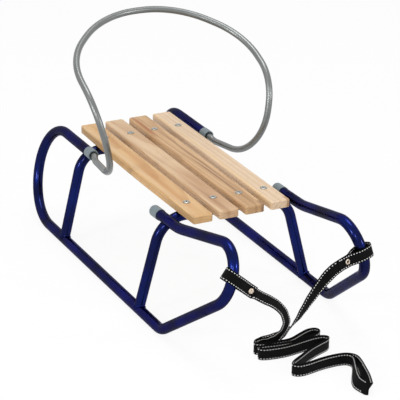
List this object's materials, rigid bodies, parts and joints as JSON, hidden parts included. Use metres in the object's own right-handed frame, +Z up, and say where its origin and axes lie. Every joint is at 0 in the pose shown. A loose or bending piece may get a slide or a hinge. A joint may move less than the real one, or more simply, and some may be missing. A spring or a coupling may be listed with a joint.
{
  "type": "metal sled",
  "caption": "Tubular sled: bent runners, arches, slatted wooden seat, plug-in hoop backrest and a webbing pull strap laid out in front.",
  "frame": {"origin": "on the floor under the middle of the runners, found without the pull strap", "axes": "+X forward, the way the sled is pulled; +Y to the sled's left; +Z up"},
  "size_m": [1.0824, 0.4212, 0.5011],
  "materials": {
    "frame_paint": "gloss metallic blue paint",
    "slat_wood": "clear-lacquered light wood",
    "grey_plastic": "light blue-grey moulded plastic",
    "backrest_paint": "satin silver-grey paint",
    "strap_webbing": "black woven webbing with pale stitching"
  },
  "bodies": {
    "sled": {"runner_right": "frame_paint", "runner_left": "frame_paint", "arch_front": "frame_paint", "arch_rear": "frame_paint", "slat_1": "slat_wood", "slat_2": "slat_wood", "slat_3": "slat_wood", "slat_4": "slat_wood", "plug_right": "grey_plastic", "plug_left": "grey_plastic", "bush_right": "grey_plastic", "bush_left": "grey_plastic", "strap_loop_right": "strap_webbing", "strap_loop_left": "strap_webbing", "strap_right": "strap_webbing", "strap_left": "strap_webbing"},
    "backrest": {"backrest": "backrest_paint"}
  },
  "joints": [
    {"name": "backrest_pull", "type": "slide", "parent": "sled", "child": "backrest", "axis": [1, 0, 0], "range_m": [0, 0.05]}
  ]
}
